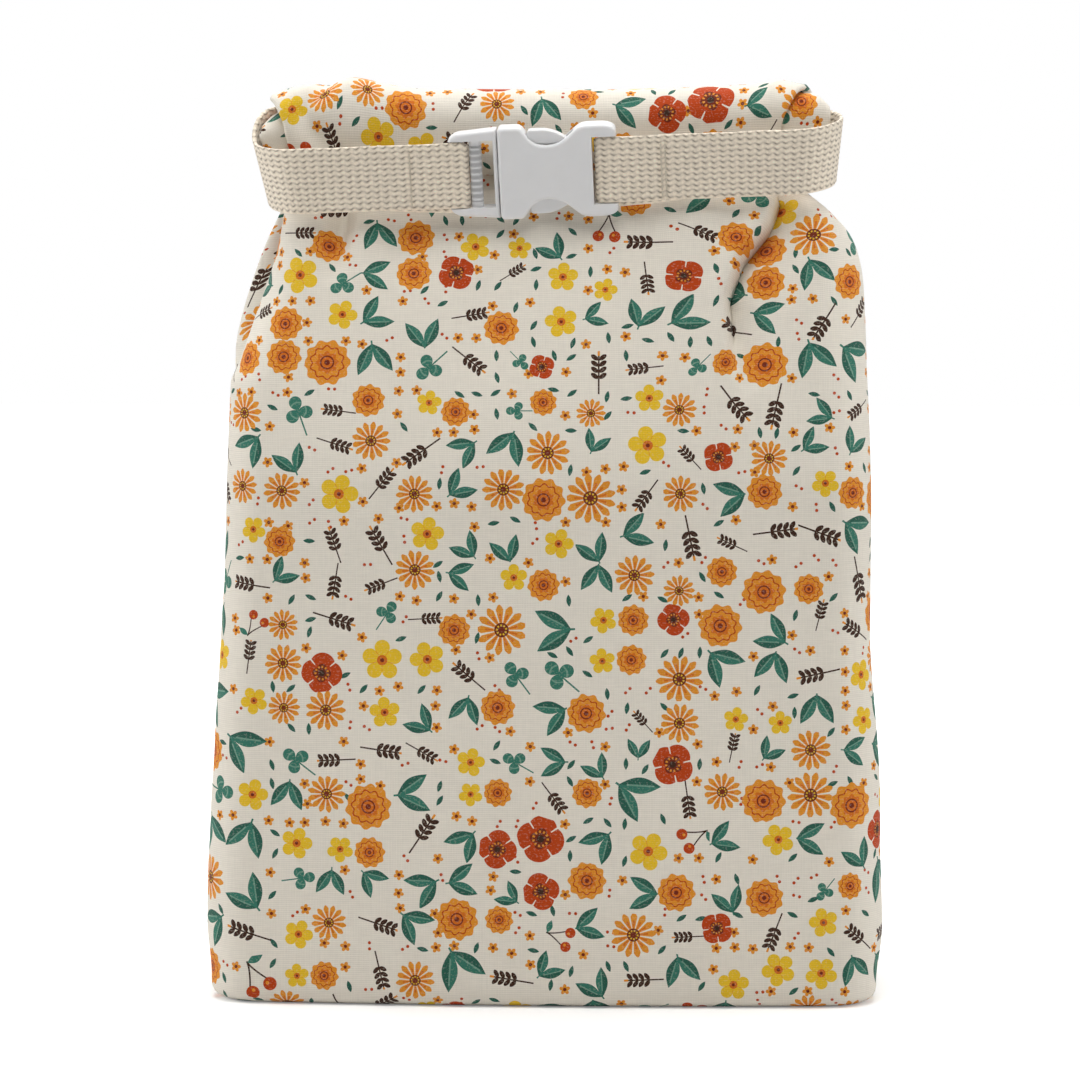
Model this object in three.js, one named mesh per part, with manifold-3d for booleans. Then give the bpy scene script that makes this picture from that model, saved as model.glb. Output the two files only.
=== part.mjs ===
// Roll-top bread bag: a boxy canvas bag with a wipe-clean lining. Its mouth is rolled down towards
// the front and held by a webbing strap that closes with a side-release buckle.
// Millimetres, +Z up, the front faces -Y, and the origin is the middle of the base.
import * as THREE from "three";
import { mergeVertices } from "three/addons/utils/BufferGeometryUtils.js";
import Module from "manifold-3d";

const wasm = await Module();
wasm.setup();

// Body of the bag
const BASE_WIDTH = 255;
const SHOULDER_WIDTH = 242; // where the sides start to draw in
const NECK_WIDTH = 211;
const BASE_DEPTH = 92;
const NECK_DEPTH = 18;
const NECK_HEIGHT = 309;
const SHOULDER_HEIGHT = 235;
const WEDGE_HEIGHT = 170; // where the front and the back start to lean together
const PANEL_BOW = 4; // how far the front and the back swell between the corners
const CORNER_RADIUS = 18;
const BOTTOM_RADIUS = 5;
const GUSSET_TUCK = 26; // how deep each side folds in at the neck
const CANVAS = 1.0;
const LINING = 0.6;
const GAP = 0.3; // clearance between layers and along seams

// Rolled mouth
const ROLL_HEIGHT = 37;
const ROLL_THICKNESS = 24;
const ROLL_TURNS = 2.5;
const ROLL_PITCH = 3.4; // from one turn of the roll to the next
const ROLL_CANVAS = 1.2;

// Webbing strap round the roll
const STRAP_WIDTH = 25;
const STRAP_THICKNESS = 1.6;
const STRAP_SLACK = 7; // from each end of the roll to the outside of the strap
const STRAP_RISE = 4.8; // from the neck to the middle of the front run
const STRAP_BEND = 8; // bend radius at each end
const STRAP_TAIL = 30; // length that is folded back and sewn
const TAIL_TAPER = 17; // where the folded tail meets the strap
const STRAP_LEAN = THREE.MathUtils.degToRad(12); // the back run sits higher than the front run
const STRAP_TILT = THREE.MathUtils.degToRad(2.3); // the right end sits higher than the left end

// Side-release buckle
const BUCKLE_JOINT = -16.6; // where the two halves meet, along the strap
const BUCKLE_SLOT = STRAP_WIDTH + 0.8;
const EDGE_ROUND = 1.3;
const BAR_WIDTH = 4;
const BAR_THICKNESS = 3.6;
const BAR_ROUND = 1.5;
const BAR_BITE = 1.6; // how far a bar runs into each rail
const SOCKET_THICKNESS = 9.5;
const SOCKET_LENGTH = 44.4;
const SOCKET_HEIGHT = 35;
const SOCKET_TAIL_HEIGHT = 30; // at the end that holds the strap
const SOCKET_WAIST = 20.6; // between the two finger cut-outs
const MOUTH_LENGTH = 10.5;
const MOUTH_HEIGHT = 27.2; // inside the mouth
const CAVITY_LENGTH = 28.5;
const CAVITY_HEIGHT = 33.4; // behind the mouth, where the catches spread
const CAVITY_THICKNESS = 5.4;
const SOCKET_SLOT_START = 35.3;
const SOCKET_BAR = 40.8; // middle of the bar that holds the strap
const PLUG_THICKNESS = 7.5;
const PLUG_LENGTH = 18.9;
const PLUG_BAR = 15.4; // middle of the bar that holds the strap
const PLUG_HEIGHT = 34;
const PLUG_TAIL_HEIGHT = 29; // at the end that holds the strap
const FLANGE = 1.5;
const LADDER_BAR_WIDTH = 4.6;
const LADDER_BAR_THICKNESS = 3.4;
const LADDER_SLOT = 4.6; // the empty slot beside the flange
const RIB_PITCH = 2.4;
const RIB_RADIUS = 0.6;
const TONGUE_LENGTH = 22;
const TONGUE_HEIGHT = 6;
const ARM_THICKNESS = 4.8;
const ARM_LENGTH = 26.5;
const ARM_INNER = 10.4; // from the middle line to an arm's inner edge
const ARM_CATCH = 2.4; // how far a catch stands out past the mouth's wall
const CATCH_PLAY = 0.7;
const CATCH_LENGTH = 5;

// Finish
const canvasFinish = new THREE.MeshStandardMaterial({ color: 0xefe9dc, roughness: 0.9, metalness: 0 });
const liningFinish = new THREE.MeshStandardMaterial({ color: 0xf4f3ee, roughness: 0.45, metalness: 0 });
const webbingFinish = new THREE.MeshStandardMaterial({ color: 0xdccfb8, roughness: 0.95, metalness: 0 });
const plasticFinish = new THREE.MeshStandardMaterial({ color: 0xf0f0f2, roughness: 0.35, metalness: 0 });

// Solids

function solidOf(geometry) {
  const bare = geometry.clone();
  bare.deleteAttribute("normal");
  bare.deleteAttribute("uv");
  const merged = mergeVertices(bare, 1e-4);
  return new wasm.Manifold(
    new wasm.Mesh({
      numProp: 3,
      vertProperties: new Float32Array(merged.attributes.position.array),
      triVerts: new Uint32Array(merged.index.array),
    }),
  );
}

function geometryOf(solid) {
  const made = solid.getMesh();
  const geometry = new THREE.BufferGeometry();
  geometry.setAttribute("position", new THREE.BufferAttribute(made.vertProperties, 3));
  geometry.setIndex(new THREE.BufferAttribute(made.triVerts, 1));
  geometry.computeVertexNormals();
  return geometry;
}

function named(name, geometry, material) {
  const mesh = new THREE.Mesh(geometry, material);
  mesh.name = name;
  return mesh;
}

// A line without the points that lie on the one before them.
function distinct(points) {
  return points.filter((point, i) => i === 0 || point.distanceTo(points[i - 1]) > 0.01);
}

// A line moved to its left by a distance, with mitred corners.
function offsetLine(points, distance) {
  const leftOf = (a, b) => new THREE.Vector2(a.y - b.y, b.x - a.x).normalize();
  return points.map((point, i) => {
    const before = leftOf(points[Math.max(i - 1, 0)], points[Math.max(i, 1)]);
    const last = points.length - 1;
    const after = leftOf(points[Math.min(i, last - 1)], points[Math.min(i + 1, last)]);
    const mitre = before.clone().add(after).normalize();
    return point.clone().addScaledVector(mitre, distance / mitre.dot(before));
  });
}

// A closed sheet between two grids of points that match row by row.
function sheetGeometry(outer, inner) {
  const rows = outer.length;
  const columns = outer[0].length;
  const count = rows * columns;
  const at = (row, column) => row * columns + column;
  const faces = [];
  for (let row = 0; row < rows - 1; row++) {
    for (let column = 0; column < columns - 1; column++) {
      const [a, b] = [at(row, column), at(row, column + 1)];
      const [d, c] = [at(row + 1, column), at(row + 1, column + 1)];
      faces.push(a, b, c, a, c, d);
      faces.push(a + count, c + count, b + count, a + count, d + count, c + count);
    }
  }
  const rim = [];
  for (let column = 0; column < columns - 1; column++) rim.push(at(0, column));
  for (let row = 0; row < rows - 1; row++) rim.push(at(row, columns - 1));
  for (let column = columns - 1; column > 0; column--) rim.push(at(rows - 1, column));
  for (let row = rows - 1; row > 0; row--) rim.push(at(row, 0));
  rim.forEach((p, i) => {
    const q = rim[(i + 1) % rim.length];
    faces.push(q, p, p + count, q, p + count, q + count);
  });
  const geometry = new THREE.BufferGeometry();
  const places = [...outer.flat(), ...inner.flat()].flatMap((v) => v.toArray());
  geometry.setAttribute("position", new THREE.Float32BufferAttribute(places, 3));
  geometry.setIndex(faces);
  geometry.computeVertexNormals();
  return geometry;
}

// Body of the bag

const rise = (z, from, power) => Math.max(0, (z - from) / (NECK_HEIGHT - from)) ** power;

function halfWidthAt(z) {
  const lower = THREE.MathUtils.mapLinear(Math.min(z, SHOULDER_HEIGHT), 0, SHOULDER_HEIGHT, BASE_WIDTH, SHOULDER_WIDTH);
  return (lower - (SHOULDER_WIDTH - NECK_WIDTH) * rise(z, SHOULDER_HEIGHT, 1.3)) / 2;
}

function halfDepthAt(z) {
  return (BASE_DEPTH - (BASE_DEPTH - NECK_DEPTH) * rise(z, WEDGE_HEIGHT, 1.5)) / 2;
}

// The front half of the bag's outline at one height, from the left side seam to the right one.
function halfOutline(z, inset) {
  const width = halfWidthAt(z);
  const depth = halfDepthAt(z);
  const radius = Math.min(CORNER_RADIUS, 0.75 * depth);
  const tuck = GUSSET_TUCK * rise(z, WEDGE_HEIGHT, 1.5);
  const bow = PANEL_BOW * (1 - rise(z, WEDGE_HEIGHT, 1));
  const seam = -GAP / 2;
  const left = [new THREE.Vector2(tuck - width, seam)];
  left.push(new THREE.Vector2((tuck / 2 - width), (seam + radius - depth) / 2));
  const cornerSteps = 3;
  for (let i = 0; i <= cornerSteps; i++) {
    const turn = Math.PI * (1 + i / cornerSteps / 2);
    left.push(new THREE.Vector2(radius - width + radius * Math.cos(turn), radius - depth + radius * Math.sin(turn)));
  }
  const panelSteps = 6;
  const panel = [];
  for (let i = 1; i < panelSteps; i++) {
    const across = (2 * i) / panelSteps - 1;
    panel.push(new THREE.Vector2(across * (width - radius), -depth - bow * (1 - across * across)));
  }
  const right = left.map((p) => new THREE.Vector2(-p.x, p.y)).reverse();
  return offsetLine([...left, ...panel, ...right], inset);
}

// One face of a layer: it turns under at the bottom and climbs to the neck, a set distance inside the canvas.
function layerFace(inset, side) {
  const turn = BOTTOM_RADIUS - inset;
  const curlSteps = 3;
  const wallSteps = 10;
  const rows = [];
  for (let i = 0; i < curlSteps; i++) {
    const angle = (Math.PI / 2) * (1 - i / curlSteps);
    rows.push([BOTTOM_RADIUS - turn * Math.cos(angle), BOTTOM_RADIUS - turn * Math.sin(angle)]);
  }
  for (let i = 0; i <= wallSteps; i++) {
    const share = Math.sqrt(i / wallSteps); // closer rows near the neck, where the sides fold in
    rows.push([inset, THREE.MathUtils.lerp(BOTTOM_RADIUS, NECK_HEIGHT, share)]);
  }
  return rows.map(([drawnIn, z]) => {
    const outline = halfOutline(z, drawnIn).map((p) => new THREE.Vector3(p.x, side * p.y, z));
    return side > 0 ? outline : outline.reverse();
  });
}

function wallHalf(inset, thickness, side) {
  return sheetGeometry(layerFace(inset, side), layerFace(inset + thickness, side));
}

// The flat bottom of a layer, inside the edge where the walls turn under.
function basePanel(inset, thickness) {
  const front = halfOutline(inset, BOTTOM_RADIUS + GAP);
  const back = front.map((p) => new THREE.Vector2(p.x, -p.y)).reverse();
  const base = new THREE.ExtrudeGeometry(new THREE.Shape([...front, ...back]), { depth: thickness, bevelEnabled: false });
  return base.translate(0, 0, inset);
}

function bagBody() {
  const body = new THREE.Group();
  const liningInset = CANVAS + GAP;
  body.add(named("front_canvas", wallHalf(0, CANVAS, 1), canvasFinish));
  body.add(named("back_canvas", wallHalf(0, CANVAS, -1), canvasFinish));
  body.add(named("base_canvas", basePanel(0, CANVAS), canvasFinish));
  body.add(named("front_lining", wallHalf(liningInset, LINING, 1), liningFinish));
  body.add(named("back_lining", wallHalf(liningInset, LINING, -1), liningFinish));
  body.add(named("base_lining", basePanel(liningInset, LINING), liningFinish));
  return body;
}

// Rolled mouth

const ROLL_BOTTOM = NECK_HEIGHT + GAP;
const rollMiddleY = NECK_DEPTH / 2 - ROLL_THICKNESS / 2;

// A flattened spiral: it leaves the neck at the back, goes over the top, down the front and in.
function rollLine(inset) {
  const straight = ROLL_HEIGHT / 2 - ROLL_THICKNESS / 2;
  const middle = ROLL_BOTTOM + ROLL_HEIGHT / 2;
  const stepsPerHalfTurn = 8;
  const halfTurns = Math.round(2 * ROLL_TURNS);
  const points = [new THREE.Vector2(rollMiddleY + ROLL_THICKNESS / 2 - inset, ROLL_BOTTOM)];
  for (let half = 0; half < halfTurns; half++) {
    const centre = half % 2 === 0 ? middle + straight : middle - straight;
    for (let i = 0; i <= stepsPerHalfTurn; i++) {
      const turns = (half + i / stepsPerHalfTurn) / 2;
      const radius = ROLL_THICKNESS / 2 - inset - ROLL_PITCH * turns;
      const angle = 2 * Math.PI * turns;
      points.push(new THREE.Vector2(rollMiddleY + radius * Math.cos(angle), centre + radius * Math.sin(angle)));
    }
  }
  return points;
}

function rolledLayer(inset, thickness) {
  const outline = [...rollLine(inset), ...rollLine(inset + thickness).reverse()];
  const roll = new THREE.ExtrudeGeometry(new THREE.Shape(outline), { depth: NECK_WIDTH, bevelEnabled: false });
  roll.translate(0, 0, -NECK_WIDTH / 2);
  const upright = new THREE.Matrix4().makeBasis(
    new THREE.Vector3(0, 1, 0),
    new THREE.Vector3(0, 0, 1),
    new THREE.Vector3(1, 0, 0),
  );
  return roll.applyMatrix4(upright);
}

function rolledMouth() {
  const roll = new THREE.Group();
  roll.add(named("rolled_canvas", rolledLayer(0, ROLL_CANVAS), canvasFinish));
  roll.add(named("rolled_lining", rolledLayer(ROLL_CANVAS + GAP, LINING), liningFinish));
  return roll;
}

// Strap and buckle, in a frame of their own: X runs along the strap, Z across it and -Y points forward.
// The middle of that frame is the middle of the roll's thickness.

// How far an edge of a run leans in towards the roll, given half its width and its reach along the strap.
const leanIn = (half, reach) => (half + reach * Math.sin(STRAP_TILT)) * Math.tan(STRAP_LEAN);
const strapLeanIn = leanIn(STRAP_WIDTH / 2, NECK_WIDTH / 2);
const buckleLeanIn = leanIn(SOCKET_HEIGHT / 2, SOCKET_LENGTH);
const BUCKLE_Y = -(ROLL_THICKNESS / 2 + buckleLeanIn + GAP + SOCKET_THICKNESS / 2);
const WRAP_RADIUS = BAR_WIDTH / 2 + GAP + STRAP_THICKNESS / 2;
const FRONT_RUN_Y = BUCKLE_Y - WRAP_RADIUS;
const BACK_RUN_Y = ROLL_THICKNESS / 2 + strapLeanIn + 2 * GAP + STRAP_THICKNESS / 2;
const STRAP_END = NECK_WIDTH / 2 + STRAP_SLACK - STRAP_THICKNESS / 2;
const BEND_START = STRAP_END - STRAP_BEND;

const PLUG_BAR_X = BUCKLE_JOINT - PLUG_BAR;
const SOCKET_BAR_X = BUCKLE_JOINT + SOCKET_BAR;

// Webbing that follows a line seen from above.
function webbing(line) {
  const half = STRAP_THICKNESS / 2;
  const outline = [...offsetLine(line, -half), ...offsetLine(line, half).reverse()];
  const strap = new THREE.ExtrudeGeometry(new THREE.Shape(outline), { depth: STRAP_WIDTH, bevelEnabled: false });
  return strap.translate(0, 0, -STRAP_WIDTH / 2);
}

// The sewn part of the strap: behind the roll and round both of its ends.
function backStrapLine() {
  const line = new THREE.Path();
  const frontCentre = FRONT_RUN_Y + STRAP_BEND;
  const backCentre = BACK_RUN_Y - STRAP_BEND;
  const quarter = Math.PI / 2;
  line.moveTo(-BEND_START, FRONT_RUN_Y);
  line.absarc(-BEND_START, frontCentre, STRAP_BEND, -quarter, -2 * quarter, true);
  line.absarc(-BEND_START, backCentre, STRAP_BEND, 2 * quarter, quarter, true);
  line.absarc(BEND_START, backCentre, STRAP_BEND, quarter, 0, true);
  line.absarc(BEND_START, frontCentre, STRAP_BEND, 0, -quarter, true);
  return distinct(line.getPoints(3));
}

// A free end of the strap: it goes round the buckle's bar, and its tail is folded back behind it.
function strapEndLine(barX, side) {
  const tailY = FRONT_RUN_Y + STRAP_THICKNESS + GAP;
  const along = (distance) => barX + side * distance;
  const line = new THREE.Path();
  line.moveTo(side * (BEND_START - GAP), FRONT_RUN_Y);
  line.lineTo(barX, FRONT_RUN_Y);
  line.absarc(barX, BUCKLE_Y, WRAP_RADIUS, -Math.PI / 2, Math.PI / 2, side > 0);
  line.lineTo(along(TAIL_TAPER), tailY);
  line.lineTo(along(STRAP_TAIL), tailY);
  const points = distinct(line.getPoints(5));
  return side < 0 ? points : points.reverse();
}

// An outline in the strap's plane, given by its upper half, as a plate with rounded edges.
function plate(upperHalf, thickness, edge) {
  const lowerHalf = upperHalf.map((p) => new THREE.Vector2(p.x, -p.y)).reverse();
  return upright(new THREE.Shape(distinct([...upperHalf, ...lowerHalf])), thickness, edge);
}

function upright(shape, thickness, edge) {
  const solid = new THREE.ExtrudeGeometry(shape, {
    depth: thickness - 2 * edge,
    bevelEnabled: edge > 0,
    bevelThickness: edge,
    bevelSize: edge,
    bevelOffset: -edge,
    bevelSegments: 4,
    curveSegments: 8,
  });
  return solid.translate(0, 0, edge - thickness / 2).rotateX(Math.PI / 2);
}

function block(fromX, toX, thickness, height) {
  const box = new THREE.BoxGeometry(toX - fromX, thickness, height);
  return solidOf(box.translate((fromX + toX) / 2, 0, 0));
}

// A bar across a strap slot, with rounded corners so that the webbing turns round it.
function crossBar(middleX, width, thickness) {
  const [w, t, r] = [width / 2, thickness / 2, BAR_ROUND];
  const section = new THREE.Shape();
  section.absarc(w - r, t - r, r, 0, Math.PI / 2);
  section.absarc(r - w, t - r, r, Math.PI / 2, Math.PI);
  section.absarc(r - w, r - t, r, Math.PI, 1.5 * Math.PI);
  section.absarc(w - r, r - t, r, 1.5 * Math.PI, 2 * Math.PI);
  const length = BUCKLE_SLOT + 2 * BAR_BITE;
  const bar = new THREE.ExtrudeGeometry(section, { depth: length, bevelEnabled: false, curveSegments: 3 });
  return solidOf(bar.translate(middleX, 0, -length / 2));
}

// The socket half: a flat sleeve, open at its mouth, with a finger cut-out on each side.
function buckleSocket() {
  const top = SOCKET_HEIGHT / 2;
  const waist = SOCKET_WAIST / 2;
  const tailTop = SOCKET_TAIL_HEIGHT / 2;
  const outline = new THREE.Path();
  const corner = 1.6 * EDGE_ROUND;
  const cutEnd = SOCKET_SLOT_START - 2;
  const cutMiddle = MOUTH_LENGTH + 0.35 * (cutEnd - MOUTH_LENGTH);
  outline.moveTo(0, top - corner);
  outline.quadraticCurveTo(0, top, corner, top);
  outline.lineTo(MOUTH_LENGTH - 3.5, top);
  outline.bezierCurveTo(MOUTH_LENGTH + 1, top, MOUTH_LENGTH - 1, waist, cutMiddle, waist);
  outline.bezierCurveTo(cutMiddle + 8, waist, cutEnd - 5, top, cutEnd, top);
  outline.lineTo(SOCKET_LENGTH - 6, top);
  outline.quadraticCurveTo(SOCKET_LENGTH - 1, top, SOCKET_LENGTH, tailTop);
  const body = solidOf(plate(outline.getPoints(10), SOCKET_THICKNESS, EDGE_ROUND));
  const beyond = SOCKET_LENGTH + EDGE_ROUND;
  return geometryOf(
    body
      .subtract(block(-EDGE_ROUND, MOUTH_LENGTH + GAP, CAVITY_THICKNESS, MOUTH_HEIGHT))
      .subtract(block(MOUTH_LENGTH, CAVITY_LENGTH, CAVITY_THICKNESS, CAVITY_HEIGHT))
      .subtract(block(SOCKET_SLOT_START, beyond, 2 * SOCKET_THICKNESS, BUCKLE_SLOT))
      .add(crossBar(SOCKET_BAR, BAR_WIDTH, BAR_THICKNESS)),
  );
}

// The plug half: a strap frame with a ribbed bar, a flange that meets the socket, and a guide tongue.
function bucklePlug() {
  const top = PLUG_HEIGHT / 2;
  const tailTop = PLUG_TAIL_HEIGHT / 2;
  const face = -GAP;
  const outline = new THREE.Path();
  outline.moveTo(-PLUG_LENGTH, tailTop - 2 * EDGE_ROUND);
  outline.quadraticCurveTo(-PLUG_LENGTH, tailTop, -PLUG_LENGTH + 3 * EDGE_ROUND, tailTop + EDGE_ROUND);
  outline.lineTo(face, top);
  const frame = solidOf(plate(outline.getPoints(8), PLUG_THICKNESS, EDGE_ROUND));
  const flangeStart = face - FLANGE;
  const ladderX = flangeStart - LADDER_SLOT - LADDER_BAR_WIDTH / 2;
  const beyond = PLUG_LENGTH + EDGE_ROUND;
  let plug = frame
    .subtract(block(-beyond, flangeStart, 2 * PLUG_THICKNESS, BUCKLE_SLOT))
    .add(crossBar(-PLUG_BAR, BAR_WIDTH, BAR_THICKNESS))
    .add(crossBar(ladderX, LADDER_BAR_WIDTH, LADDER_BAR_THICKNESS));
  const ribs = Math.floor(BUCKLE_SLOT / RIB_PITCH / 2 - 1);
  for (let i = -ribs; i <= ribs; i++) {
    const rib = new THREE.CylinderGeometry(RIB_RADIUS, RIB_RADIUS, LADDER_BAR_WIDTH - BAR_ROUND, 8);
    rib.rotateZ(Math.PI / 2).translate(ladderX, -LADDER_BAR_THICKNESS / 2, i * RIB_PITCH);
    plug = plug.add(solidOf(rib));
  }
  return geometryOf(plug.add(guideTongue(flangeStart)));
}

function guideTongue(start) {
  const half = TONGUE_HEIGHT / 2;
  const outline = [
    new THREE.Vector2(start, half),
    new THREE.Vector2(TONGUE_LENGTH - half, half),
    new THREE.Vector2(TONGUE_LENGTH, half / 2),
  ];
  return solidOf(plate(outline, ARM_THICKNESS, 0));
}

// The upper spring arm, with the catch that the finger presses. The lower one mirrors it.
function catchArm() {
  const outer = MOUTH_HEIGHT / 2 - GAP;
  const catchTop = MOUTH_HEIGHT / 2 + ARM_CATCH;
  const catchStart = MOUTH_LENGTH + CATCH_PLAY;
  const catchEnd = catchStart + CATCH_LENGTH;
  const corner = 1.6;
  const arm = new THREE.Shape();
  arm.moveTo(0, ARM_INNER);
  arm.lineTo(ARM_LENGTH - corner, ARM_INNER);
  arm.quadraticCurveTo(ARM_LENGTH, ARM_INNER, ARM_LENGTH, ARM_INNER + corner);
  arm.quadraticCurveTo(ARM_LENGTH - CATCH_LENGTH, catchTop, catchEnd, catchTop);
  arm.lineTo(catchStart + corner, catchTop);
  arm.quadraticCurveTo(catchStart, catchTop, catchStart, catchTop - corner);
  arm.lineTo(catchStart, outer);
  arm.lineTo(0, outer);
  return upright(arm, ARM_THICKNESS, 0.5);
}

function strapAndBuckle() {
  const strap = new THREE.Group();
  strap.rotation.set(STRAP_LEAN, -STRAP_TILT, 0);
  const frontDrop = -FRONT_RUN_Y * Math.sin(STRAP_LEAN);
  strap.position.set(0, rollMiddleY, NECK_HEIGHT + STRAP_RISE + frontDrop);
  strap.add(named("back_strap", webbing(backStrapLine()), webbingFinish));
  strap.add(named("left_strap_end", webbing(strapEndLine(PLUG_BAR_X, -1)), webbingFinish));
  strap.add(named("right_strap_end", webbing(strapEndLine(SOCKET_BAR_X, 1)), webbingFinish));

  const buckle = new THREE.Group();
  buckle.position.set(BUCKLE_JOINT, BUCKLE_Y, 0);
  buckle.add(named("buckle_socket", buckleSocket(), plasticFinish));
  buckle.add(named("buckle_plug", bucklePlug(), plasticFinish));
  buckle.add(named("upper_catch_arm", catchArm(), plasticFinish));
  buckle.add(named("lower_catch_arm", catchArm().rotateX(Math.PI), plasticFinish));
  strap.add(buckle);
  return strap;
}

const breadBag = new THREE.Group();
breadBag.name = "bread_bag";
breadBag.add(bagBody());
breadBag.add(rolledMouth());
breadBag.add(strapAndBuckle());

export default breadBag;
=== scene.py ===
import functools
import math

import bpy
import numpy as np
from mathutils import Matrix, Vector, noise


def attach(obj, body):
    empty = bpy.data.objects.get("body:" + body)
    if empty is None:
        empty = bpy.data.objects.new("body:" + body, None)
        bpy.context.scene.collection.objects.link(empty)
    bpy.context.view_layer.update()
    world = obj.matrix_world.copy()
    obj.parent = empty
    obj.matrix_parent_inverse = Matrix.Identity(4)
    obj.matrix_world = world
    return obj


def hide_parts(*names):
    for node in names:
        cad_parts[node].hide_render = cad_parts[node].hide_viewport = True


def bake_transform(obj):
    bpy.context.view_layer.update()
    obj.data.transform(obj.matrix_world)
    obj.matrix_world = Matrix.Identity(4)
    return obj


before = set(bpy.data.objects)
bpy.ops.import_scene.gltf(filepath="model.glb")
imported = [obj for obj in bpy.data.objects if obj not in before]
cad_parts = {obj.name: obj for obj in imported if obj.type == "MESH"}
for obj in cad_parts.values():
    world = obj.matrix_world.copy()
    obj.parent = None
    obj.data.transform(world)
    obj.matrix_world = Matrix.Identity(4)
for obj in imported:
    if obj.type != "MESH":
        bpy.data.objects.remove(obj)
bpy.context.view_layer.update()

# Sizes are in millimetres; meshes are made in metres.
MM = 0.001

# Body of the bag. A corner's radius is at most a share of the depth. Rows across the base stop short of its
# middle by a slit, and folds fade out towards a flat foot. The lining closes in near the neck.
BASE_HALF_WIDTH = 127
BASE_HALF_DEPTH = 46
NECK_HEIGHT = 309
NECK_TOP = 316
NECK_TURN = 3.5
NECK_TURN_START = 303
PANEL_BOW = 4
CORNER_RADIUS = 18
CORNER_SHARE = 0.8
BOTTOM_RADIUS = 6
BASE_SLIT = 3
FLAT_FOOT = 40
LINING_INSET = 1.6
NECK_LINING_INSET = 0.4
LINING_CLOSES = (180, 270)
LINING_SHORT_ROWS = 2
HEM_INSET = 1.0

# Each upright edge: half width at the shoulder and at the neck, where it starts to draw in, and how late.
EDGES = {
    ("front", "left"): (118.7, 98.0, 236, 0.8),
    ("back", "left"): (120.5, 96.5, 245, 1.35),
    ("front", "right"): (122.0, 93.0, 262, 2.95),
    ("back", "right"): (121.5, 94.0, 255, 2.7),
}

# Each face's distance from the middle at the neck, where it starts to slope in, and how late it does.
SLOPES = {"front": (12.5, 198, 1.3), "back": (9.0, 170, 1.5)}

# How deep each side folds in at the neck, where the fold starts, and how late it deepens.
TUCKS = {"left": (24, 185, 1.4), "right": (9, 235, 2.0)}

# How far each side bulges above the base, and the heights where that grows and fades.
BELLY = {"left": 2.0, "right": 2.8}
BELLY_GROWS = (6, 30)
BELLY_FADES = (140, 70)

# Handles of the curve from a corner to the side seam, as shares of the way
SIDE_LEAVE = 0.35
SIDE_ARRIVE = (0.45, 0.12)

# Waves in the cloth: height, spread across and up, and seed
WRINKLES = ((0.9, 62, 55, 1.5), (0.35, 21, 24, 5.5))
GATHERS = (1.1, 11, 60, 9.5)
GATHERS_GROW = (215, 300)
ROLL_WAVES = (0.5, 30, 40, 3.5)

# How far the side seams draw in, and over how many columns of the mesh
SEAM_DEPTH = 0.9
SEAM_SPREAD = 1.2

# Mesh steps of the body, over a quarter of its outline and up its wall, and how much they crowd together
PANEL_STEPS = 64
PANEL_CROWDING = 0.5
CORNER_STEPS = 16
SIDE_STEPS = 14
WALL_STEPS = 150
WALL_CROWDING = 0.35
CURL_STEPS = 5
BASE_STEPS = 10
QUARTER = PANEL_STEPS + CORNER_STEPS + SIDE_STEPS

# The canvas turns over the rim into a hem: how far in and up each row of the turn lies.
RIM_TURN = ((0.25, 0.3), (0.55, 0.4), (0.85, 0.25))
RIM_STEP = 0.4
HEM_ROWS = 5
HEM_STEP = 1.4

# Where the print starts on the back and on the roll, so that neither repeats the front
BACK_PRINT = 1000
ROLL_PRINT = 2000

# Rolled mouth
ROLL_BOTTOM = 309.3
ROLL_HEIGHT = 37
ROLL_THICKNESS = 28
ROLL_MIDDLE_Y = -5
ROLL_PITCH = 3.4
ROLL_HALF_TURNS = 5
ROLL_CLOTH = 2.2
ROLL_END_BULGE = 0.9
ROLL_COLUMNS = 120
ROLL_STEP = 1.8
HALF_TURN_STEPS = 25

# Strap and buckle, in the strap's own frame: x along the front run, z across the strap
STRAP_ORIGIN = Vector((0, -3, 318.84))
STRAP_LEAN = math.radians(12)
STRAP_TILT = math.radians(-2.3)
STRAP_WIDTH = 25
STRAP_THICKNESS = 1.6
FRONT_RUN_Y = -24.25
BACK_RUN_Y = 16.96
BUCKLE_Y = -21.15
WRAP_RADIUS = 3.1
PLUG_WRAP = 3.65
SOCKET_WRAP = 4.3
STRAP_LEFT_END = 110.4
STRAP_RIGHT_END = 112.8
STRAP_TURN = 19
PLUG_BAR_X = -32.0
SOCKET_BAR_X = 24.2
RIBBED_BAR_X = -25.3
RIBBED_BAR_WIDTH = 4.6
RIB_PITCH = 2.4
RIBS_REACH = 10.8
STRAP_TAIL = 30
TAIL_GAP = 0.3
STRAP_STEP = 0.45
STRAP_SMOOTHING = 12
TAIL_TAPER = 17
TAIL_SKEW = 3.4
SKEW_FADE = 10
LOOP_STEPS = 16
TURN_STEPS = 32
PROFILE_STEPS = 15
EDGE_WIDTH = 0.7
EDGE_INSET = 0.15
EDGE_SHARE = 0.62
EDGE_WANDER = 0.25
WANDER_WIDTH = 1
WANDER_LENGTH = 14
WANDER_SEED = 7.5

# Where the strap leaves the front and reaches the back, rises behind the roll, and draws in at its end
BACK_RUN_STARTS = (-14, 12)
LIFT_GROWS = (30, 108)
DRAW_GROWS = (82, 111)

# Rows of stitches across the strap's front
LEFT_STITCHES = (-50,)
RIGHT_STITCHES = (44.5, 46.1)
STITCH_LENGTH = 2.1
STITCH_STEP = 2.6
STITCH_REACH = 11.2
STITCH_RADIUS = 0.3
STITCH_RISE = 0.3
STITCH_RINGS = 9
STITCH_SIDES = 8
GROOVE_DEPTH = 0.8
GROOVE_WIDTH = 0.6

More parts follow.
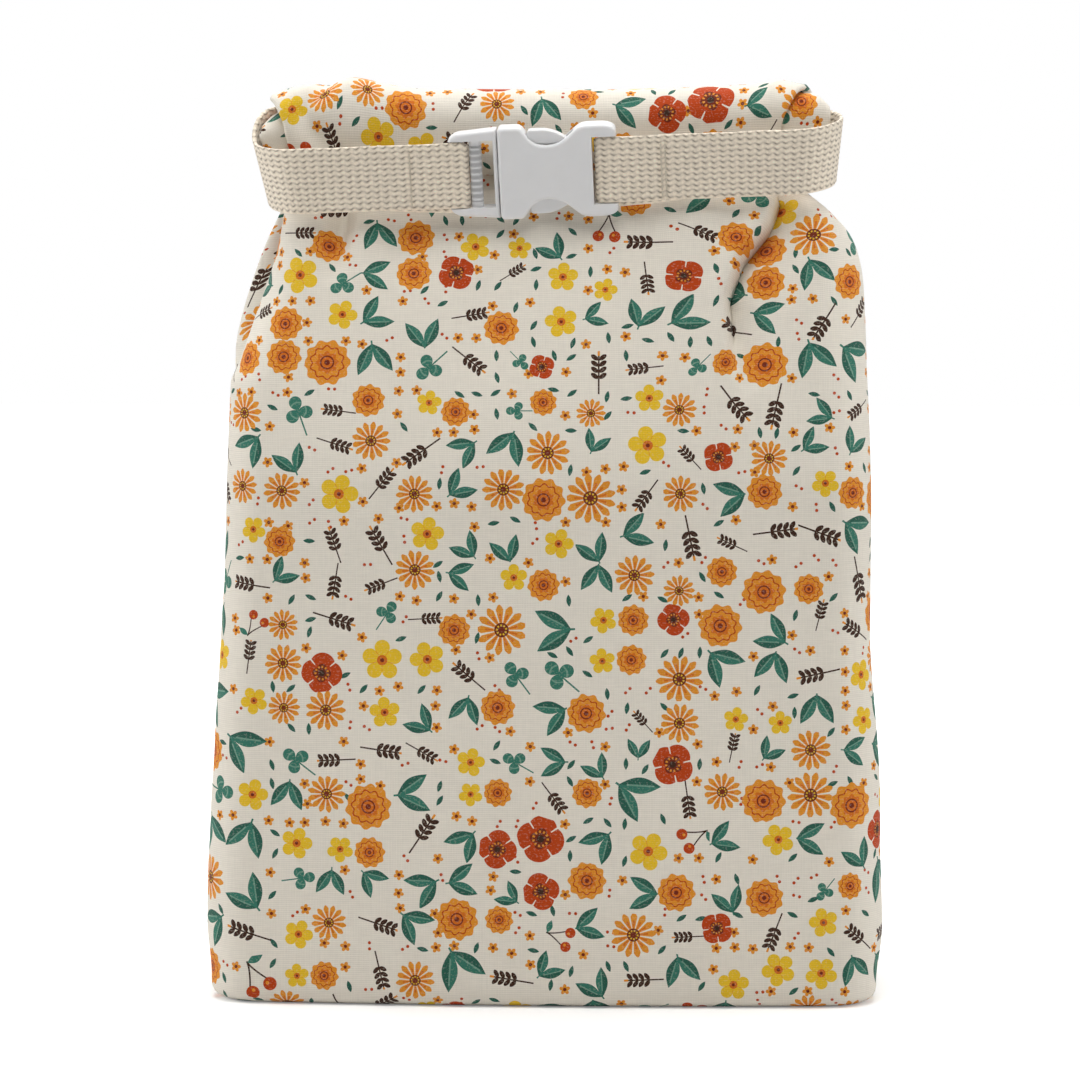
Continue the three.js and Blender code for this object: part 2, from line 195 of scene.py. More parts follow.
strap_frame = (
    Matrix.Translation(STRAP_ORIGIN)
    @ Matrix.Rotation(STRAP_LEAN, 4, "X")
    @ Matrix.Rotation(STRAP_TILT, 4, "Y")
)


# Small helpers

def ease(value, start, end):
    """0 before start and 1 after end, with a smooth turn between."""
    t = np.clip((np.asarray(value, float) - start) / (end - start), 0, 1)
    return t * t * (3 - 2 * t)


def rise(z, start, power):
    """0 up to the height start, growing to 1 at the neck."""
    return np.clip((z - start) / (NECK_HEIGHT - start), 0, 1) ** power


def hump(offset, spread):
    """1 where the offset is 0, falling off smoothly on both sides."""
    return np.exp(-((offset / spread) ** 2))


def crowded(share, amount):
    """Even shares from 0 to 1, drawn closer together towards 1."""
    return share * (1 + amount - amount * share)


def soft_noise(a, b, seed):
    """Smooth noise over two arrays of places, about -1 to 1."""
    flat = [noise.noise(Vector((x, y, seed))) for x, y in zip(np.ravel(a), np.ravel(b))]
    return np.reshape(flat, np.shape(a))


def waves(across, up, height, spread_across, spread_up, seed):
    """Soft waves in cloth, of a height and with a spread across it and up it."""
    return height * soft_noise(across / spread_across, up / spread_up, seed)


def lengths(points):
    """Distance along rows of points, starting at 0."""
    steps = np.linalg.norm(np.diff(points, axis=0), axis=-1)
    return np.concatenate([np.zeros((1,) + steps.shape[1:]), np.cumsum(steps, axis=0)])


def resampled(points, step):
    """A flat line in even steps: its new points, how far along they lie, and how far the old ones do."""
    along = lengths(points)
    even = np.linspace(0, along[-1], int(along[-1] / step))
    line = np.stack([np.interp(even, along, points[:, axis]) for axis in (0, 1)], axis=1)
    return line, even, along


def side_normals(line):
    """Unit normals of a flat line, to the right of the way it runs."""
    heading = np.gradient(line, axis=0)
    heading /= np.linalg.norm(heading, axis=1, keepdims=True)
    return np.stack([heading[:, 1], -heading[:, 0]], axis=1)


def surface_normals(points):
    """Unit normals of rings of points, row by row."""
    down = np.gradient(points, axis=0)
    across = np.roll(points, -1, axis=1) - np.roll(points, 1, axis=1)
    normals = np.cross(across, down)
    return normals / np.maximum(np.linalg.norm(normals, axis=-1, keepdims=True), 1e-9)


def at_corners(values, faces):
    """The values of points, listed corner by corner of the faces."""
    return np.array([values[corner] for face in faces for corner in face])


def add_object(name, data):
    """A new object in the scene."""
    added = bpy.data.objects.new(name, data)
    bpy.context.scene.collection.objects.link(added)
    return added


def mesh_object(name, points, faces, corner_uvs, material):
    """A smooth mesh from points in millimetres, with its cloth coordinates kept in millimetres."""
    mesh = bpy.data.meshes.new(name)
    mesh.from_pydata((np.reshape(points, (-1, 3)) * MM).tolist(), [], faces)
    layer = mesh.uv_layers.new(name="cloth")
    layer.data.foreach_set("uv", np.ravel(corner_uvs).astype(np.float32))
    mesh.polygons.foreach_set("use_smooth", [True] * len(mesh.polygons))
    mesh.materials.append(material)
    return add_object(name, mesh)


# Node formulas

def add_node(tree, kind, inputs, **settings):
    """A shader node with its settings. Each input takes a term or a socket to link to, or a plain value."""
    node = tree.nodes.new("ShaderNode" + kind)
    for name, value in settings.items():
        setattr(node, name, value)
    for place, value in inputs.items():
        value = getattr(value, "socket", value)
        if isinstance(value, bpy.types.NodeSocket):
            tree.links.new(value, node.inputs[place])
        else:
            node.inputs[place].default_value = value
    return node


class Term:
    """A number in a material's node tree. Arithmetic on terms adds Math nodes."""

    def __init__(self, tree, socket):
        self.tree = tree
        self.socket = socket

    def math(self, operation, *others):
        node = add_node(self.tree, "Math", dict(enumerate((self, *others))), operation=operation)
        return Term(self.tree, node.outputs[0])

    def clamped(self):
        return self.math("MINIMUM", 1.0).math("MAXIMUM", 0.0)


OPERATIONS = {
    "__add__": "ADD", "__sub__": "SUBTRACT", "__mul__": "MULTIPLY", "__truediv__": "DIVIDE",
    "__pow__": "POWER", "__lt__": "LESS_THAN", "__gt__": "GREATER_THAN", "__and__": "MULTIPLY",
    "__or__": "MAXIMUM", "__abs__": "ABSOLUTE", "cos": "COSINE", "sin": "SINE",
}
for method, operation in OPERATIONS.items():
    setattr(Term, method, functools.partialmethod(Term.math, operation))


def linear(red, green, blue):
    """A colour given as 0 to 255 on screen, in the linear values that shaders take."""
    def channel(value):
        share = value / 255
        return share / 12.92 if share <= 0.04045 else ((share + 0.055) / 1.055) ** 2.4
    return (channel(red), channel(green), channel(blue), 1.0)


def new_material(name):
    """An empty node material with its shader: the tree and the shader node come back with it."""
    material = bpy.data.materials.new(name)
    material.use_nodes = True
    tree = material.node_tree
    return material, tree, tree.nodes["Principled BSDF"]


def parted(tree, socket, kind, picks=(0, 1)):
    """Parts of a vector or a colour, as terms."""
    node = add_node(tree, kind, {0: socket})
    return [Term(tree, node.outputs[pick]) for pick in picks]


def cloth_place(tree):
    """The cloth's own coordinates, in millimetres along and across it."""
    source = add_node(tree, "UVMap", {}, uv_map="cloth")
    return parted(tree, source.outputs["UV"], "SeparateXYZ")


def vector_of(x, y):
    return add_node(x.tree, "CombineXYZ", {0: x, 1: y}).outputs[0]


def noise_term(tree, vector, detail):
    node = add_node(tree, "TexNoise", {"Scale": 1.0, "Detail": detail, "Vector": vector})
    return Term(tree, node.outputs["Fac"])


def cloth_noise(u, v, spread_u, spread_v, detail):
    """Noise over cloth, with its spread along and across in millimetres."""
    return noise_term(u.tree, vector_of(u / spread_u, v / spread_v), detail)


def ridges(place, pitch):
    """A row of rounded ridges, 0 between them and 1 on top."""
    return abs((place * (math.pi / pitch)).sin())


def mixed(base, colour, share):
    """base with colour laid over it where share is 1; both are sockets or plain colours."""
    return add_node(share.tree, "Mix", {0: share, 6: base, 7: colour}, data_type="RGBA").outputs[2]


def shaded(colour, brightness):
    """A colour socket made lighter or darker by a term."""
    inputs = {0: colour, "Scale": brightness}
    return add_node(brightness.tree, "VectorMath", inputs, operation="SCALE").outputs[0]


def surfaced(shader, colour, roughness, height, depth):
    """Sets a shader's colour from a socket, its roughness from a term, and its relief from a term and a depth
    in millimetres."""
    tree = height.tree
    relief = add_node(tree, "Bump", {"Strength": 1.0, "Distance": depth * MM, "Height": height})
    tree.links.new(colour, shader.inputs["Base Color"])
    tree.links.new(roughness.socket, shader.inputs["Roughness"])
    tree.links.new(relief.outputs["Normal"], shader.inputs["Normal"])


# Printed canvas

CREAM = linear(239, 232, 219)
AMBER = linear(230, 149, 44)
ORANGE = linear(216, 112, 28)
RUST = linear(190, 67, 11)
BROWN_RED = linear(118, 42, 18)
DARK_BROWN = linear(64, 38, 24)
TEAL = linear(57, 121, 103)
PALE_TEAL = linear(112, 156, 137)
DARK_TEAL = linear(42, 96, 81)
YELLOW = linear(238, 196, 44)
SCATTER = 0.5
MOTIF_CELL = 16.5
MOTIF_FILL = 1.15
FILLER_CELL = 7.0
FILLER_SHIFT = (31.7, 18.3)
FILLER_RADIUS = 2.3
FILLER_CLEARANCE = FILLER_RADIUS * 0.45


def scattered(tree, place, feature):
    """A Voronoi node over a place in cells."""
    inputs = {"Scale": 1.0, "Randomness": SCATTER, "Vector": place}
    return add_node(tree, "TexVoronoi", inputs, voronoi_dimensions="2D", feature=feature)


def turned(x, y, turn):
    return x * turn.cos() + y * turn.sin(), y * turn.cos() - x * turn.sin()


class Spot:
    """A place in a motif's own unit circle: x and y, how far to the side, and its radius and angle."""

    def __init__(self, x, y):
        self.x = x
        self.y = y
        self.side = abs(x)
        self.r = (x * x + y * y) ** 0.5
        self.angle = y.math("ARCTAN2", x)


def motif_place(u, v):
    """The place in the nearest motif's own unit circle, and that motif's random number."""
    tree = u.tree
    cell_u, cell_v = u / MOTIF_CELL, v / MOTIF_CELL
    cells = vector_of(cell_u, cell_v)
    nearest = scattered(tree, cells, "F1")
    middle_u, middle_v = parted(tree, nearest.outputs["Position"], "SeparateXYZ")
    chance, turn = parted(tree, nearest.outputs["Color"], "SeparateColor")
    radius = Term(tree, scattered(tree, cells, "N_SPHERE_RADIUS").outputs["Radius"]) * MOTIF_FILL
    x, y = turned((cell_u - middle_u) / radius, (cell_v - middle_v) / radius, turn * (2 * math.pi))
    return Spot(x, y), chance


def filler_place(u, v):
    """As motif_place for the small motifs, and whether this one has room between the large ones."""
    tree = u.tree
    shift_u, shift_v = FILLER_SHIFT
    cell_u, cell_v = u / FILLER_CELL + shift_u, v / FILLER_CELL + shift_v
    nearest = scattered(tree, vector_of(cell_u, cell_v), "F1")
    middle_u, middle_v = parted(tree, nearest.outputs["Position"], "SeparateXYZ")
    chance, turn = parted(tree, nearest.outputs["Color"], "SeparateColor")
    scale = FILLER_CELL / MOTIF_CELL
    spot = vector_of((middle_u - shift_u) * scale, (middle_v - shift_v) * scale)
    away = Term(tree, scattered(tree, spot, "F1").outputs["Distance"])
    taken = Term(tree, scattered(tree, spot, "N_SPHERE_RADIUS").outputs["Radius"])
    room = (away - taken) * MOTIF_CELL > FILLER_CLEARANCE
    x, y = turned((cell_u - middle_u) * FILLER_CELL, (cell_v - middle_v) * FILLER_CELL, turn * (2 * math.pi))
    return Spot(x / FILLER_RADIUS, y / FILLER_RADIUS), chance, room


def filler_colour(u, v):
    """Small blossoms, leaves and dots in the gaps between the large motifs."""
    at, chance, room = filler_place(u, v)
    petals = abs((at.angle * 2.5).cos())
    blossom = room & (chance < 0.4)
    leaf = room & (chance > 0.4) & (chance < 0.75)
    dots = room & (chance > 0.75)
    colour = mixed(CREAM, AMBER, blossom & (at.r < petals * 0.4 + 0.5))
    colour = mixed(colour, BROWN_RED, blossom & (at.r < 0.28))
    colour = mixed(colour, DARK_TEAL, leaf & (abs(at.y) < (at.x * -1.0 * at.x + 1.0) * 0.38))
    spaced = abs(at.side - 0.5)
    return mixed(colour, RUST, dots & (spaced * spaced + at.y * at.y < 0.07))


# Each motif lists its inks from the bottom up and where each goes, in shares of the motif's radius.

def poppy(at):
    """Four petals round a dark heart."""
    lobes = abs((at.angle * 2).cos())
    inside = at.r < lobes ** 0.8 * 0.18 + 0.78
    return [
        (RUST, inside),
        (CREAM, inside & (lobes < 0.09) & (at.r > 0.5)),
        (BROWN_RED, at.r < lobes * 0.14 + 0.30),
        (AMBER, (abs(at.r - 0.29) < 0.05) & ((at.angle * 11).cos() > 0.1)),
        (DARK_BROWN, at.r < 0.15),
    ]


def marigold(at):
    """Scalloped rings."""
    scallops = (at.angle * 10).cos()
    return [
        (AMBER, at.r < scallops * 0.06 + 0.88),
        (RUST, abs(at.r + scallops * 0.05 - 0.63) < 0.03),
        (ORANGE, at.r < (at.angle * 8).cos() * 0.05 + 0.42),
        (BROWN_RED, abs(at.r - 0.25) < 0.03),
        (BROWN_RED, at.r < 0.11),
    ]


def aster(at):
    """Narrow rays."""
    rays = (at.angle * 13).cos()
    return [
        (AMBER, (at.r < rays * 0.10 + 0.84) & (rays > -0.75)),
        (ORANGE, (rays > 0.55) & (at.r > 0.3) & (at.r < 0.6)),
        (BROWN_RED, at.r < 0.27),
        (YELLOW, (abs(at.r - 0.17) < 0.035) & ((at.angle * 9).cos() > 0.0)),
    ]


def leaf_pair(at):
    """Two leaves on a short stem."""
    along = at.side * 0.5 + (at.y + 0.85) * 0.866
    tilt = at.side * 0.866 - (at.y + 0.85) * 0.5
    across = abs(tilt)
    blade = ((along / 1.55).clamped() * math.pi).sin() * 0.30
    stalk = (at.side < 0.04) & (at.y < -0.5) & (at.y > -1.0)
    return [
        (TEAL, (across < blade) | stalk),
        (DARK_TEAL, (across < blade) & (tilt > 0.0)),
        (PALE_TEAL, (across < 0.03) & (across < blade) & (along > 0.3) & (along < 1.3)),
    ]


def ear(at):
    """An ear of grain."""
    step = ((at.y + 4.0) / 0.27).math("FRACT") - 0.5
    lean_x = (at.side - 0.17) * 0.77 + step * 0.27 * 0.64
    lean_y = step * 0.27 * 0.77 - (at.side - 0.17) * 0.64
    grain = ((lean_x / 0.19) ** 2 + (lean_y / 0.10) ** 2 < 1.0) & (at.y > -0.22) & (at.y < 0.86)
    return [
        (DARK_BROWN, grain | ((at.side < 0.035) & (at.y > -1.0) & (at.y < 0.8))),
        (AMBER, (at.side < 0.05) & (at.y > 0.8) & (at.y < 1.0)),
    ]


def buttercup(at):
    """Five round petals."""
    petals = abs((at.angle * 2.5).cos())
    return [
        (YELLOW, at.r < petals ** 0.55 * 0.36 + 0.42),
        (AMBER, (petals < 0.1) & (at.r > 0.2) & (at.r < 0.42)),
        (ORANGE, at.r < 0.2),
        (BROWN_RED, at.r < 0.08),
    ]


def cherries(at):
    """Two cherries with a leaf."""
    berry = (at.side - 0.42) * (at.side - 0.42) + (at.y + 0.45) * (at.y + 0.45)
    hang = ((at.y * -1.0 + 0.8).math("MAXIMUM", 0.0)) ** 1.4 * 0.42
    leaf_along = (at.x / 0.75).clamped()
    return [
        (DARK_BROWN, (abs(at.side - hang) < 0.04) & (at.y > -0.3) & (at.y < 0.85)),
        (RUST, berry < 0.085),
        (AMBER, (at.side - 0.34) ** 2 + (at.y + 0.37) ** 2 < 0.006),
        (TEAL, abs(at.y - 0.78) < (leaf_along * math.pi).sin() * 0.17),
    ]


def clover(at):
    """Three leaflets on a stalk."""
    heart = Spot(at.x, at.y - 0.2)
    leaflets = abs(((heart.angle - math.pi / 2) * 1.5).cos())
    stalk = (at.side < 0.035) & (at.y > -1.0) & (at.y < 0.2)
    return [
        (TEAL, (heart.r < leaflets ** 0.6 * 0.66) | stalk),
        (PALE_TEAL, (abs(heart.r - 0.36) < 0.035) & (leaflets > 0.5)),
    ]


# Each motif's share of the places
MOTIFS = (
    (0.05, poppy), (0.16, marigold), (0.12, aster), (0.25, leaf_pair),
    (0.21, ear), (0.12, buttercup), (0.04, cherries), (0.05, clover),
)


def printed_colour(u, v):
    """Scattered flowers, leaves, ears and berries on cream cloth."""
    at, chance = motif_place(u, v)
    colour = filler_colour(u, v)
    start = 0.0
    for share, motif in MOTIFS:
        chosen = (chance > start) & (chance < start + share)
        for ink, mask in motif(at):
            colour = mixed(colour, ink, mask & chosen)
        start += share
    return colour


# Pitches of the weaves and of the thread's twist
WEFT_PITCH = 0.75
WARP_PITCH = 0.62
LINING_PITCH = 0.5
CHEVRON_LENGTH = 3.4
CHEVRON_ROW = 2.1
THREAD_TWIST = 0.35


def canvas_weave(u, v):
    """Height of a plain weave with thicker threads across, and the unevenness of its yarn."""
    slub = cloth_noise(u, v, 7.0, WEFT_PITCH, 2.0)
    cross_slub = cloth_noise(u, v, WARP_PITCH, 9.0, 2.0)
    return ridges(v, WEFT_PITCH) * 0.6 + ridges(u, WARP_PITCH) * 0.3 + slub * 0.8 + cross_slub * 0.6


def make_canvas():
    """Cotton canvas with a print that has worn a little between the threads, and shade painted between the
    threads.
    """
    material, tree, shader = new_material("printed_canvas")
    u, v = cloth_place(tree)
    weave = canvas_weave(u, v)
    patches = cloth_noise(u, v, 40.0, 40.0, 3.0)
    # Painted shade of the weave: the colour is lighter on the threads and darker between them; the patches
    # are random tone.
    brightness = weave * 0.17 + patches * 0.06 + 0.75
    speck = cloth_noise(u, v, 0.9, 0.7, 1.0) > 0.60
    ink = mixed(printed_colour(u, v), CREAM, speck * 0.12)
    surfaced(shader, shaded(ink, brightness), weave * -0.05 + 0.93, weave, 0.10)
    shader.inputs["Sheen Weight"].default_value = 0.08
    shader.inputs["Specular IOR Level"].default_value = 0.25
    return material


def make_lining():
    """White cotton with a wipe-clean coat, with light and shade painted along its creases."""
    material, tree, shader = new_material("coated_lining")
    u, v = cloth_place(tree)
    weave = ridges(v, LINING_PITCH) * 0.5 + ridges(u, LINING_PITCH) * 0.5
    creases = cloth_noise(u, v, 18.0, 11.0, 4.0)
    # Painted light and shade: the colour grows lighter and darker with the creases' relief, and the weave
    # adds a faint painted shade between threads.
    brightness = creases * 0.16 + weave * 0.03 + 0.86
    white = mixed(linear(240, 239, 233), linear(229, 228, 220), creases)
    surfaced(shader, shaded(white, brightness), creases * 0.25 + 0.35, weave * 0.12 + creases, 0.35)
    shader.inputs["Coat Weight"].default_value = 0.15
    return material


def make_webbing():
    """Natural cotton webbing: rows of small chevrons along the strap, with shade painted into their grooves.
    """
    material, tree, shader = new_material("cotton_webbing")
    u, v = cloth_place(tree)
    wander = cloth_noise(u, v, 6.0, 4.0, 3.0)
    tufts = cloth_noise(u, v, 1.7, 1.3, 1.0)
    angle = u * (2 * math.pi / CHEVRON_LENGTH)
    zigzag = angle.sin()
    beads = abs(zigzag)
    row = (v + zigzag * 0.32 + wander * 1.2) / CHEVRON_ROW
    dashes = (angle + 0.9).sin() * 0.28 + 0.72
    ridge = (abs((row * math.pi).sin()) * -1.0 + 1.0) * dashes * -1.0 + 1.0
    fibres = noise_term(tree, vector_of(u / 0.35 + v / 0.5, v / 0.35), 3.0)
    height = ridge ** 0.5 + beads * 0.3 + tufts * 0.5 + fibres * 0.3
    stain = cloth_noise(u, v, 30.0, 20.0, 3.0)
    # Painted shade and highlight: the rows are darker in their grooves and the beads lighter on top; fibres,
    # tufts and stain are random tone.
    deep = mixed(linear(122, 106, 84), linear(250, 238, 219), ridge ** 0.6)
    brightness = fibres * 0.36 + stain * 0.10 + tufts * 0.50 + beads * 0.06 + 0.51
    surfaced(shader, shaded(deep, brightness), fibres * 0.1 + 0.86, height, 0.45)
    shader.inputs["Sheen Weight"].default_value = 0.2
    shader.inputs["Specular IOR Level"].default_value = 0.2
    return material


def object_place(tree, scale):
    """Places on the object, in steps of scale millimetres."""
    source = tree.nodes.new("ShaderNodeTexCoord").outputs["Object"]
    return add_node(tree, "VectorMath", {0: source, "Scale": 1 / (scale * MM)}, operation="SCALE").outputs[0]


def strap_place(tree):
    """Places in the strap's own frame, in millimetres along it and across it."""
    inputs = {
        "Vector": tree.nodes.new("ShaderNodeTexCoord").outputs["Object"],
        "Location": STRAP_ORIGIN * MM,
        "Rotation": strap_frame.to_euler(),
        "Scale": (MM, MM, MM),
    }
    node = add_node(tree, "Mapping", inputs, vector_type="TEXTURE")
    return parted(tree, node.outputs[0], "SeparateXYZ", (0, 2))


def make_plastic():
    """Moulded white plastic with a fine satin grain, with shade painted between the ribs of the plug's bar.
    """
    material, tree, shader = new_material("white_plastic")
    grain = noise_term(tree, object_place(tree, 0.35), 3.0)
    flow = noise_term(tree, object_place(tree, 9.0), 2.0)
    white = mixed(linear(231, 231, 232), linear(239, 239, 240), flow)
    along, across = strap_place(tree)
    on_bar = (abs(along - RIBBED_BAR_X) < RIBBED_BAR_WIDTH / 2) & (abs(across) < RIBS_REACH)
    # Painted shade: the colour darkens in rows across the plug's ribbed bar, between its ribs.
    painted_rib_shade = ridges(across, RIB_PITCH) & on_bar
    roughness = grain * 0.16 + flow * 0.10 + 0.26
    surfaced(shader, shaded(white, painted_rib_shade * -0.35 + 1.0), roughness, grain + flow * 2.0, 0.03)
    shader.inputs["Subsurface Weight"].default_value = 0.12
    shader.inputs["Subsurface Radius"].default_value = (1.0, 0.9, 0.8)
    shader.inputs["Subsurface Scale"].default_value = 1.5 * MM
    return material


def make_thread():
    """Twisted sewing cotton, with shade painted between its plies."""
    material, tree, shader = new_material("sewing_thread")
    u, v = cloth_place(tree)
    twist = abs(((u / THREAD_TWIST + v) * math.pi).sin())
    # Painted shade: the thread is darker between its twisted plies and lighter on them.
    colour = mixed(linear(206, 194, 172), linear(238, 230, 214), twist)
    surfaced(shader, colour, twist * -0.1 + 0.8, twist, 0.08)
    return material


canvas = make_canvas()
lining = make_lining()
webbing = make_webbing()
plastic = make_plastic()
thread = make_thread()


# Body of the bag

def edge_width(z, face, side):
    """Half width of the body at a height, on one face and one side."""
    shoulder, neck, start, power = EDGES[face, side]
    straight = BASE_HALF_WIDTH + (shoulder - BASE_HALF_WIDTH) * np.minimum(z / start, 1)
    belly = BELLY[side] * ease(z, *BELLY_GROWS) * ease(z, *BELLY_FADES)
    return straight + belly - (shoulder - neck) * rise(z, start, power)


def quarter_outline(z, face, side):
    """A quarter of the outline at a height, from the middle of a face to the middle of a side."""
    width = edge_width(z, face, side)
    neck_depth, slope_start, slope_power = SLOPES[face]
    depth = BASE_HALF_DEPTH - (BASE_HALF_DEPTH - neck_depth) * rise(z, slope_start, slope_power)
    depth = depth - NECK_TURN * ease(z, NECK_TURN_START, NECK_TOP) * (face == "front")
    radius = min(CORNER_RADIUS, CORNER_SHARE * depth)
    bow = PANEL_BOW * (1 - rise(z, slope_start, 1))
    most, start, power = TUCKS[side]
    narrower = min(edge_width(z, "front", side), edge_width(z, "back", side))
    seam_x = narrower - most * rise(z, start, power)

    share = crowded(np.arange(PANEL_STEPS) / PANEL_STEPS, PANEL_CROWDING)
    panel = np.stack([share * (width - radius), -depth - bow * (1 - share**2)], axis=1)
    turn = np.arange(CORNER_STEPS) / CORNER_STEPS * math.pi / 2
    centre_x, centre_y = width - radius, -depth + radius
    corner = np.stack([centre_x + radius * np.sin(turn), centre_y - radius * np.cos(turn)], axis=1)

    first = np.array([width, centre_y])
    last = np.array([seam_x, 0.0])
    leave = np.array([width, centre_y * SIDE_LEAVE])
    arrive = np.array([seam_x + (width - seam_x) * SIDE_ARRIVE[0], centre_y * SIDE_ARRIVE[1]])
    t = (np.arange(SIDE_STEPS + 1) / SIDE_STEPS)[:, None]
    wall = (1 - t) ** 3 * first + 3 * (1 - t) ** 2 * t * leave + 3 * (1 - t) * t**2 * arrive + t**3 * last

    outline = np.concatenate([panel, corner, wall])
    mirror_x = -1 if side == "left" else 1
    mirror_y = -1 if face == "back" else 1
    return outline * (mirror_x, mirror_y)


def full_outline(z):
    """The closed outline at a height, from the left side across the front, round the right and back."""
    front_left = quarter_outline(z, "front", "left")[::-1]
    front_right = quarter_outline(z, "front", "right")
    back_right = quarter_outline(z, "back", "right")[::-1]
    back_left = quarter_outline(z, "back", "left")
    return np.concatenate([front_left[:-1], front_right[:-1], back_right[:-1], back_left[:-1]])


def body_rows():
    """Rows of points from the middle of the base, round its edge and up the wall."""
    rows = []
    insets = np.linspace(BASE_HALF_DEPTH - BASE_SLIT, BOTTOM_RADIUS, BASE_STEPS, endpoint=False)
    levels = [(inset, 0.0) for inset in insets]
    for turn in np.arange(CURL_STEPS) / CURL_STEPS * math.pi / 2:
        levels.append((BOTTOM_RADIUS * (1 - math.sin(turn)), BOTTOM_RADIUS * (1 - math.cos(turn))))
    share = crowded(np.arange(WALL_STEPS + 1) / WALL_STEPS, WALL_CROWDING)
    levels += [(0.0, z) for z in BOTTOM_RADIUS + (NECK_TOP - BOTTOM_RADIUS) * share]
    for inset, z in levels:
        outline = full_outline(z)
        shrink = np.array([1 - inset / BASE_HALF_WIDTH, 1 - inset / (BASE_HALF_DEPTH + PANEL_BOW)])
        rows.append(np.column_stack([outline * shrink, np.full(len(outline), z)]))
    return np.array(rows)


def cloth_coordinates(points):
    """Millimetres along the cloth: out from the middle of each face, and up the wall."""
    closed = np.concatenate([points, points[:, :1]], axis=1)
    around = lengths(np.swapaxes(closed, 0, 1)).T
    front = around[:, : 2 * QUARTER + 1] - around[:, QUARTER, None]
    back = around[:, 2 * QUARTER :] - around[:, 3 * QUARTER, None]
    up = lengths(points[:, QUARTER])
    return front, back, up


def beside_path(u, z, path):
    """How far places on the cloth lie from a path, below zero to its left, and the path's strength there.
    A path is a list of (u, z, strength) that runs down the cloth."""
    nearest = np.full(u.shape, np.inf)
    signed = np.zeros(u.shape)
    strength = np.zeros(u.shape)
    for (u0, z0, s0), (u1, z1, s1) in zip(path, path[1:]):
        du, dz = u1 - u0, z1 - z0
        t = np.clip(((u - u0) * du + (z - z0) * dz) / (du * du + dz * dz), 0, 1)
        off_u, off_z = u - u0 - t * du, z - z0 - t * dz
        distance = np.hypot(off_u, off_z)
        closer = distance < nearest
        side = np.where(du * off_z - dz * off_u > 0, 1, -1)
        nearest = np.where(closer, distance, nearest)
        signed = np.where(closer, distance * side, signed)
        strength = np.where(closer, s0 + (s1 - s0) * t, strength)
    return signed, strength


def stroke(u, z, path, widths, depth, lifts=()):
    """A fold pressed into the cloth along a path, with the cloth lifted beside it.
    widths are to its left and to its right, and each lift is a place across it, a spread and a height."""
    signed, strength = beside_path(u, z, path)
    change = -depth * hump(signed, np.where(signed < 0, widths[0], widths[1]))
    for shift, spread, height in lifts:
        change = change + height * hump(signed - shift, spread)
    return change * strength


# The lip that the strap folds over the right shoulder, from the neck down, how far its cloth is drawn over,
# and where across it that starts, is greatest and ends
RIGHT_LIP = [
    (88, 318, 0), (84, 303, 1), (81.5, 295, 1), (79, 291, 1), (70.5, 281, 1),
    (66.5, 267, 0.85), (69.5, 252, 0.5), (72, 243, 0.25), (77, 230, 0),
]
LIP_OVERHANG = 6.5
LIP_DRAW = (-40, -1.5, 3)

# Folds that the strap gathers into the front: path, widths, depth and lifts of the lip, the right shoulder,
# the dent and the hollow on the left, and the swell on the right
FRONT_FOLDS = [
    (RIGHT_LIP, (2.6, 9.0), 12.0, [(-5, 4.5, 3.0)]),
    ([(108, 302, 0), (104, 285, 1), (98, 262, 0.8), (98, 235, 0)], (9.0, 9.0), -3.0),
    ([(-76, 312, 1), (-77, 295, 1), (-80, 272, 0)], (5.5, 4.5), 7.0, [(11, 6, 1.4), (-11, 6, 1.0)]),
    ([(-52, 312, 1), (-56, 294, 1), (-62, 272, 0)], (20.0, 20.0), 3.0),
    ([(46, 312, 1), (54, 296, 1), (56, 262, 0)], (20.0, 20.0), -4.5),
]

# Shallower folds at the back, under the strap's back run
BACK_LIFTS = [(-10, 8, 1.2), (10, 8, 1.2)]
BACK_FOLDS = [
    ([(84, 312, 1), (80, 284, 0.9), (90, 246, 0)], (5.0, 5.0), 4.0, BACK_LIFTS),
    ([(-78, 312, 1), (-74, 278, 0.8), (-66, 240, 0)], (5.5, 5.5), 3.6, BACK_LIFTS),
    ([(12, 312, 0.8), (20, 272, 0.4), (32, 236, 0)], (8.0, 8.0), 1.6, BACK_LIFTS),
]


def folded(u, z, folds):
    """How far a list of folds moves the cloth in or out."""
    return sum(stroke(u, z, *fold) for fold in folds)


def lip_shift(u, z):
    """How far the cloth left of the right shoulder's fold is drawn over it."""
    signed, strength = beside_path(u, z, RIGHT_LIP)
    start, most, end = LIP_DRAW
    drawn = np.where(signed < most, ease(signed, start, most), ease(signed, end, most))
    return LIP_OVERHANG * strength * drawn


